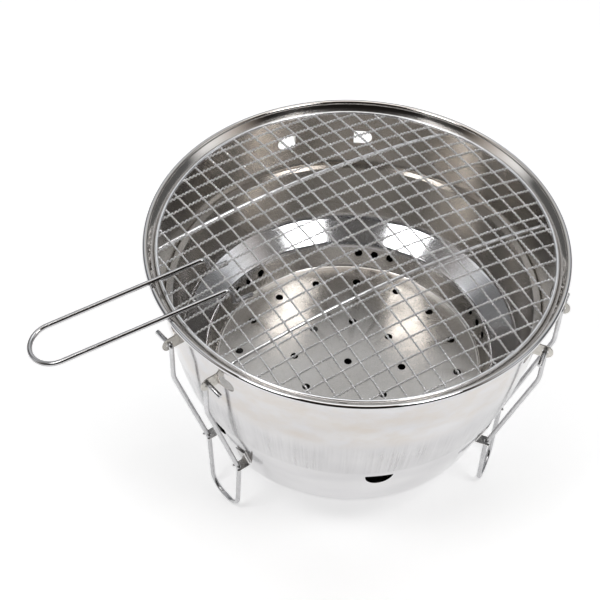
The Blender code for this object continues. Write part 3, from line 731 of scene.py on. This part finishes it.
def build_bowl():
    """Bowl shell with curled rim, half-moon vents and ear openings."""
    cuts = bmesh.new()
    for azimuth in VENT_AZIMUTHS:
        add_radial_cut(cuts, vent_outline(), azimuth, VENT_CUT[1] - VENT_CUT[0])
    for azimuth in LEG_AZIMUTHS:
        for side in (-1, 1):
            length = EAR_OPENING_CUT[1] - EAR_OPENING_CUT[0]
            add_radial_cut(cuts, ear_opening_outline(side), azimuth, length)
    mesh = cut_mesh(turned_mesh("bowl", bowl_section()), cuts)
    add_piece("bowl", mesh, bowl_material(), "bowl", ["bowl_shell"])


# ---------------------------------------------------------------- ears and clips

def wall_depth(height):
    """Distance from the pin inward to the wall beside an ear."""
    wall = math.sqrt(barrel_radius(height) ** 2 - (EAR_HALF_SPAN - EAR_SHEET / 2) ** 2)
    return wall - PIN_RADIUS_FROM_AXIS


def ear_mesh(side):
    """Ear plate with a round tip and a pin hole, measured from the pin."""
    face = side * (EAR_HALF_SPAN - EAR_SHEET / 2)
    outline = [Vector((face, wall_depth(PIN_HEIGHT + EAR_TIP_RADIUS), EAR_TIP_RADIUS))]
    for step in range(2 * ARC_STEPS + 1):
        turn = math.pi / 2 - math.pi * step / (2 * ARC_STEPS)
        outline.append(Vector((face, EAR_TIP_RADIUS * math.cos(turn),
                               EAR_TIP_RADIUS * math.sin(turn))))
    outline.append(Vector((face, wall_depth(PIN_HEIGHT - EAR_TIP_RADIUS), -EAR_TIP_RADIUS)))
    hole = circle_points(Vector((face, 0.0, 0.0)), EAR_HOLE_RADIUS,
                         Vector((0.0, 1.0, 0.0)), Vector((0.0, 0.0, 1.0)))
    bm = bmesh.new()
    add_prism(bm, outline, (side * EAR_SHEET, 0.0, 0.0), (hole,))
    return mesh_from(bm, "ear")


def pin_place(azimuth):
    """Middle of the hinge axis of the leg at that azimuth."""
    return polar(PIN_RADIUS_FROM_AXIS, azimuth, PIN_HEIGHT)


def build_ears():
    """Two ears for each leg, bent out of the wall."""
    material = sheet_material("ear_steel", *EAR_FINISH)
    for number, azimuth in enumerate(LEG_AZIMUTHS, start=1):
        for side, word in ((-1, "left"), (1, "right")):
            ear = add_piece(f"ear_{number}_{word}", ear_mesh(side), material, "bowl",
                            [f"hinge_ear_{number}_{word}"], pin_place(azimuth), azimuth - 90.0)
            add_bevel(ear, EAR_EDGE_BEVEL)


def clip_prongs(arm):
    """Outline of the tab's two round-ended prongs and the slot between them."""
    outline = []
    tip_radius = (CLIP_HALF_WIDTH - CLIP_SLOT_HALF_WIDTH) / 2
    turns = [math.pi * step / ARC_STEPS for step in range(ARC_STEPS + 1)]
    for side in (1, -1):
        tip_x = arm + side * (CLIP_HALF_WIDTH + CLIP_SLOT_HALF_WIDTH) / 2
        outline += [Vector((tip_x + tip_radius * math.cos(turn),
                            CLIP_TAB_END - tip_radius + tip_radius * math.sin(turn), 0.0))
                    for turn in turns]
        if side > 0:
            outline += [Vector((arm + CLIP_SLOT_HALF_WIDTH * math.cos(turn),
                                CLIP_SLOT_ROOT - CLIP_SLOT_HALF_WIDTH * math.sin(turn), 0.0))
                        for turn in turns]
    return outline


def clip_strap_foot(wall, outward):
    """Corners of the strap's foot: two beside the wall, and two a sheet's thickness off it."""
    across = Vector((outward.y, -outward.x, 0.0))
    corners = []
    for edge, out in ((-1, 0.0), (1, 0.0), (1, CLIP_SHEET), (-1, CLIP_SHEET)):
        face = outward * (wall + out)
        place_x = ANKLE_HALF_SPAN + edge * CLIP_HALF_WIDTH
        corners.append(face + across * (place_x - face.x) / across.x)
    return corners


def clip_mesh(side):
    """Slotted tab with a strap rising from its inner edge along the wall."""
    wall = foot_radius(CLIP_TAB_HEIGHT + CLIP_SHEET) + CLIP_GAP
    outward = Vector((ANKLE_HALF_SPAN, wall, 0.0)).normalized()
    strap_foot = clip_strap_foot(wall, outward)
    prongs = clip_prongs(ANKLE_HALF_SPAN)
    base = Vector((0.0, 0.0, CLIP_TAB_HEIGHT))
    lift = Vector((0.0, 0.0, CLIP_SHEET))
    flare = foot_radius(1.0) - foot_radius(0.0)
    climb = (outward * flare + Vector((0.0, 0.0, 1.0))) * (CLIP_STRAP_TOP - CLIP_TAB_HEIGHT)
    bm = bmesh.new()
    foot = [bm.verts.new(base + point) for point in strap_foot]
    prong = [bm.verts.new(base + point) for point in prongs]
    foot_top = [bm.verts.new(base + point + lift) for point in strap_foot]
    prong_top = [bm.verts.new(base + point + lift) for point in prongs]
    strap_top = [bm.verts.new(base + point + lift + climb) for point in strap_foot]
    bm.faces.new([foot[0], foot[1], foot[2], *prong, foot[3]])
    bm.faces.new([foot_top[3], foot_top[2], *prong_top])
    edge = [foot[0], foot[1], foot[2], *prong, foot[3], foot[0]]
    edge_top = [foot_top[0], foot_top[1], foot_top[2], *prong_top, foot_top[3], foot_top[0]]
    for index in range(len(edge) - 1):
        bm.faces.new([edge[index], edge[index + 1], edge_top[index + 1], edge_top[index]])
    for index in range(len(strap_foot)):
        following = (index + 1) % len(strap_foot)
        bm.faces.new([foot_top[index], foot_top[following],
                      strap_top[following], strap_top[index]])
    bm.faces.new(strap_top)
    if side < 0:
        bmesh.ops.scale(bm, vec=(-1.0, 1.0, 1.0), verts=bm.verts)
    return mesh_from(bm, "clip")


def build_clips():
    """Two clips for each leg."""
    material = sheet_material("clip_steel", *CLIP_FINISH)
    for number, azimuth in enumerate(LEG_AZIMUTHS, start=1):
        for side, word in ((-1, "left"), (1, "right")):
            clip = add_piece(f"clip_{number}_{word}", clip_mesh(side), material, "bowl",
                             [f"leg_clip_{number}_{word}"], azimuth=azimuth - 90.0)
            add_bevel(clip, CLIP_EDGE_BEVEL)


# ---------------------------------------------------------------- legs

def leg_path():
    """Leg wire measured from its hinge axis: pin, arm, foot bar, arm, pin."""
    pin = Vector((0.0, PIN_RADIUS_FROM_AXIS, PIN_HEIGHT))
    right = [Vector((PIN_TAIL_END, *pin.yz))] + [Vector(corner) for corner, _ in LEG_BENDS]
    left = [Vector((-point.x, point.y, point.z)) for point in reversed(right)]
    radii = [radius for _, radius in LEG_BENDS]
    corners = [point - pin for point in right + left]
    return rounded_path(corners, radii + radii[::-1], LEG_BEND_STEPS)


def build_legs():
    """Three leg wires on their hinge axes."""
    material = wire_material("leg_wire_steel", *LEG_WIRE_FINISH)
    for number, azimuth in enumerate(LEG_AZIMUTHS, start=1):
        wire = wire_curve("leg_wire", [leg_path()], LEG_WIRE_RADIUS)
        add_piece(f"leg_{number}", wire, material, f"leg_{number}",
                  [f"leg_wire_{number}"], pin_place(azimuth), azimuth - 90.0)


# ---------------------------------------------------------------- charcoal pan

def pan_section():
    """Underside of the pan, out to the curled flange, then back over the inside."""
    corners = [section_point(0.0, PAN_FLOOR_HEIGHT)]
    corners += [section_point(*corner) for corner, _ in PAN_BENDS]
    corners.append(section_point(*PAN_RIM))
    inside = rounded_path(corners, [radius for _, radius in PAN_BENDS], PAN_BEND_STEPS)
    outside = offset_section(inside, -PAN_SHEET)
    outside[0].x = 0.0
    outside[-1].z = PAN_RIM[1] - PAN_SHEET
    curl = arc(PAN_CURL_CENTRE, PAN_CURL_RADIUS, -180.0, 90.0, 2 * ARC_STEPS)
    return outside + curl + inside[::-1]


def add_floor_cuts(cuts):
    """Add the drills of the pan's floor holes: one in the middle and two rings."""
    floor_places = [Vector((0.0, 0.0, 0.0))]
    for radius, start, count in PAN_FLOOR_RINGS:
        floor_places += [polar(radius, start + FULL_TURN * k / count) for k in range(count)]
    for place in floor_places:
        place.z = PAN_FLOOR_HEIGHT - PAN_FLOOR_CUT
        ring = circle_points(place, PAN_HOLE_RADIUS, Vector((1.0, 0.0, 0.0)),
                             Vector((0.0, 1.0, 0.0)))
        add_prism(cuts, ring, (0.0, 0.0, 2 * PAN_FLOOR_CUT))


def add_side_cuts(cuts):
    """Add the drills of the pan's side holes, in groups of three."""
    for group in range(PAN_SIDE_HOLE_GROUPS):
        middle = PAN_SIDE_GROUP_START + FULL_TURN * group / PAN_SIDE_HOLE_GROUPS
        for step in (-1, 0, 1):
            outward = polar(1.0, middle + step * PAN_SIDE_HOLE_SPACING)
            across = Vector((-outward.y, outward.x, 0.0))
            start = outward * PAN_SIDE_CUT[0] + Vector((0.0, 0.0, PAN_SIDE_HOLE_HEIGHT))
            ring = circle_points(start, PAN_HOLE_RADIUS, across, Vector((0.0, 0.0, 1.0)))
            add_prism(cuts, ring, outward * (PAN_SIDE_CUT[1] - PAN_SIDE_CUT[0]))


def build_pan():
    """Charcoal pan with its floor holes and groups of side holes."""
    cuts = bmesh.new()
    add_floor_cuts(cuts)
    add_side_cuts(cuts)
    mesh = cut_mesh(turned_mesh("pan", pan_section()), cuts)
    add_piece("pan", mesh, pan_material(), "pan", ["charcoal_pan"])


# ---------------------------------------------------------------- net

def dome_height(u, v):
    """Height of the middle of the mesh above a place in net coordinates."""
    return NET_EDGE_HEIGHT + NET_RISE * (1.0 - (u * u + v * v) / NET_EDGE_RADIUS ** 2)


def lattice_lines(phase):
    """Places of the parallel wires that cross the net."""
    count = math.ceil(NET_EDGE_RADIUS / NET_PITCH) + 1
    lines = [phase + NET_PITCH * k for k in range(-count, count + 1)]
    return [line for line in lines if abs(line) < NET_EDGE_RADIUS]


def crimped_wire(place, phase, along_u, parity):
    """One finely crimped wire, with a crest or a trough on every wire that it crosses."""
    half = math.sqrt(NET_WELD_RADIUS ** 2 - place ** 2)
    waves = 2 * half / NET_PITCH * NET_WAVES_PER_CELL
    steps = round(waves * NET_STEPS_PER_WAVE)
    path = []
    for step in range(steps + 1):
        along = half * (2.0 * step / steps - 1.0)
        turn = 2 * math.pi * NET_WAVES_PER_CELL * (along - phase) / NET_PITCH
        u, v = (along, place) if along_u else (place, along)
        path.append(Vector((u, v, dome_height(u, v) + parity * NET_CRIMP * math.cos(turn))))
    return path


def build_ring():
    """Ring that the ends of the mesh are welded to."""
    steel = wire_material("net_ring_steel", *NET_RING_FINISH, metallic=NET_RING_METALLIC)
    ring = [polar(NET_RING_RADIUS, FULL_TURN * segment / LATHE_SEGMENTS, NET_RING_HEIGHT)
            for segment in range(LATHE_SEGMENTS)]
    curve = wire_curve("net_ring", [ring], NET_ROD_RADIUS, cyclic=True)
    add_piece("ring", curve, steel, "net", ["net_ring"])


def build_mesh():
    """Domed mesh of crimped wires, woven over and under each other."""
    steel = wire_material("net_mesh_steel", *NET_MESH_FINISH, metallic=NET_MESH_METALLIC)
    wires = []
    for index, v in enumerate(lattice_lines(NET_LINE_PHASE_V)):
        wires.append(crimped_wire(v, NET_LINE_PHASE_U, True, (-1) ** index))
    for index, u in enumerate(lattice_lines(NET_LINE_PHASE_U)):
        wires.append(crimped_wire(u, NET_LINE_PHASE_V, False, -((-1) ** index)))
    curve = wire_curve("net_mesh", wires, NET_WIRE_RADIUS, chamfered=False)
    curve.bevel_resolution = NET_WIRE_RESOLUTION
    add_piece("woven_mesh", curve, steel, "net", ["net_mesh"], azimuth=NET_AZIMUTH)


def build_rods():
    """Two stiffening rods under the mesh."""
    steel = wire_material("net_rod_steel", *NET_RING_FINISH, metallic=NET_RING_METALLIC)
    for number, offset in enumerate(NET_ROD_OFFSETS, start=1):
        half = math.sqrt((NET_WELD_RADIUS - NET_ROD_INSET) ** 2 - offset ** 2)
        path = []
        for step in range(NET_ROD_STEPS + 1):
            u = half * (2.0 * step / NET_ROD_STEPS - 1.0)
            path.append(Vector((u, offset, dome_height(u, offset) - NET_ROD_DROP)))
        rod = wire_curve("net_rod", [path], NET_ROD_RADIUS)
        add_piece(f"rod_{number}", rod, steel, "net", [f"net_rod_{number}"],
                  azimuth=NET_AZIMUTH)


# ---------------------------------------------------------------- handle

def handle_height(reach):
    """Height of the sloping handle at a distance along its heading."""
    return HANDLE_BEAD_HEIGHT + HANDLE_SLOPE * (HANDLE_BEAD_REACH - reach)


def hook_path(hook, heading):
    """One end of the handle: under the mesh, up through a cell, then outward."""
    top = Vector((hook.x, hook.y, handle_height(hook.dot(heading))))
    bottom = Vector((hook.x, hook.y, HANDLE_TIP_HEIGHT))
    tip = bottom + Vector((HANDLE_TIP_LENGTH, 0.0, 0.0))
    outer = hook + heading * HANDLE_LEAD
    outer.z = handle_height(outer.dot(heading))
    return rounded_path([tip, bottom, top, outer], (HANDLE_LOWER_BEND, HANDLE_UPPER_BEND))[:-1]


def build_handle():
    """Lifting handle hooked through two cells of the net."""
    heading = polar(1.0, HANDLE_HEADING)
    sideways = Vector((-heading.y, heading.x, 0.0))
    hooks = [Vector((HANDLE_AXIS_U, v, 0.0)) for v in HANDLE_HOOK_V]
    half_width = abs((hooks[0] - hooks[1]).dot(sideways)) / 2
    middle = (hooks[0] + hooks[1]).dot(sideways) / 2
    centre = heading * (HANDLE_REACH - half_width) + sideways * middle
    loop = []
    for step in range(HANDLE_LOOP_STEPS + 1):
        turn = math.pi * step / HANDLE_LOOP_STEPS
        loop.append(centre + half_width * (math.sin(turn) * heading - math.cos(turn) * sideways))
    for point in loop:
        point.z = handle_height(point.dot(heading))
    ends = [hook_path(hook, heading) for hook in hooks]
    wire = wire_curve("handle", [ends[0] + loop + ends[1][::-1]], HANDLE_WIRE_RADIUS)
    material = wire_material("handle_steel", *HANDLE_FINISH)
    add_piece("handle", wire, material, "handle", ["lifting_handle"],
              azimuth=NET_AZIMUTH)


# ---------------------------------------------------------------- studio

def build_floor():
    """Wide pale floor."""
    bm = bmesh.new()
    bmesh.ops.create_circle(bm, cap_ends=True, segments=FLOOR_SIDES, radius=FLOOR_RADIUS * MM)
    mesh = bpy.data.meshes.new("floor")
    bm.to_mesh(mesh)
    bm.free()
    floor = bpy.data.objects.new("floor", mesh)
    bpy.context.scene.collection.objects.link(floor)
    floor.location.z = FLOOR_HEIGHT * MM
    mesh.materials.append(floor_material())


def add_softbox(name, azimuth):
    """Rectangular soft light aimed at the grill's axis, at the height of the hinges."""
    light = bpy.data.lights.new(name, "AREA")
    light.shape = "RECTANGLE"
    light.size, light.size_y = SOFTBOX_SIZE
    light.energy = SOFTBOX_POWER
    lamp = bpy.data.objects.new(name, light)
    bpy.context.scene.collection.objects.link(lamp)
    lift = math.radians(SOFTBOX_ELEVATION)
    direction = polar(math.cos(lift), azimuth, math.sin(lift))
    lamp.location = Vector((0.0, 0.0, PIN_HEIGHT * MM)) + direction * SOFTBOX_DISTANCE
    lamp.rotation_euler = direction.to_track_quat("Z", "Y").to_euler()


def facing(tree, direction, azimuth, elevation, wide, narrow):
    """One towards a direction, fading to zero between two angles from it."""
    level = math.cos(math.radians(elevation))
    aim = polar(level, azimuth, math.sin(math.radians(elevation)))
    along = add_node(tree, "ShaderNodeVectorMath", {0: direction, 1: aim},
                     operation="DOT_PRODUCT").outputs["Value"]
    return add_node(tree, "ShaderNodeMapRange",
                    {"Value": along, "From Min": math.cos(math.radians(wide)),
                     "From Max": math.cos(math.radians(narrow))},
                    interpolation_type="SMOOTHSTEP").outputs[0]


def build_world():
    """Dim studio: pale wall behind the grill, light overhead, warm darkness in front."""
    world = bpy.data.worlds.new("studio")
    bpy.context.scene.world = world
    world.use_nodes = True
    tree = world.node_tree
    direction = add_node(tree, "ShaderNodeTexCoord").outputs["Generated"]
    level = STUDIO_LEVEL
    for azimuth, elevation, wide, narrow, strength in STUDIO_LIGHT_ZONES:
        zone = facing(tree, direction, CAMERA_HEADING + azimuth, elevation, wide, narrow)
        level = math_node(tree, "MULTIPLY_ADD", zone, strength, level)
    front = facing(tree, direction, CAMERA_HEADING + 180.0, *STUDIO_DARK_ZONE)
    dim = math_node(tree, "MULTIPLY_ADD", front, -STUDIO_DIMMING, 1.0)
    background = tree.nodes["Background"]
    tree.links.new(math_node(tree, "MULTIPLY", level, dim), background.inputs["Strength"])
    tree.links.new(blend_colour(tree, front, STUDIO_COLOUR, STUDIO_DARK_COLOUR),
                   background.inputs["Color"])


def build_camera():
    """Camera above and in front of the grill."""
    camera = bpy.data.cameras.new("camera")
    camera.lens = CAMERA_LENS
    camera.sensor_width = CAMERA_SENSOR
    view = bpy.data.objects.new("camera", camera)
    bpy.context.scene.collection.objects.link(view)
    down = math.radians(CAMERA_ELEVATION)
    forward = polar(math.cos(down), CAMERA_HEADING, -math.sin(down))
    level = Vector((forward.y, -forward.x, 0.0)).normalized()
    up = level.cross(forward)
    roll = math.radians(CAMERA_ROLL)
    right = level * math.cos(roll) + up * math.sin(roll)
    top = up * math.cos(roll) - level * math.sin(roll)
    turn = Matrix((right, top, -forward)).transposed().to_4x4()
    place = (Vector(CAMERA_AIM) - forward * CAMERA_DISTANCE) * MM
    view.matrix_world = Matrix.Translation(place) @ turn
    bpy.context.scene.camera = view


def build_studio():
    """Floor, lights, world and camera."""
    build_floor()
    for side, word in ((-1, "left"), (1, "right")):
        add_softbox(f"softbox_{word}", CAMERA_HEADING + 180.0 + side * SOFTBOX_SPREAD)
    build_world()
    build_camera()
    bpy.context.scene.view_settings.view_transform = "Standard"


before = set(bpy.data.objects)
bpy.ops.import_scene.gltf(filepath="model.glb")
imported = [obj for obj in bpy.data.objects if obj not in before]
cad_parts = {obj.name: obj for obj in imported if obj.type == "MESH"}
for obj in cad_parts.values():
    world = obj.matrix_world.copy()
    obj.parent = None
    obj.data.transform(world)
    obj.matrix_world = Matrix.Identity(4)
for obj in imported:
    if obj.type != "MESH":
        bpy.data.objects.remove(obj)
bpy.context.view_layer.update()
build_bowl()
build_ears()
build_clips()
build_legs()
build_pan()
build_ring()
build_mesh()
build_rods()
build_handle()
build_studio()
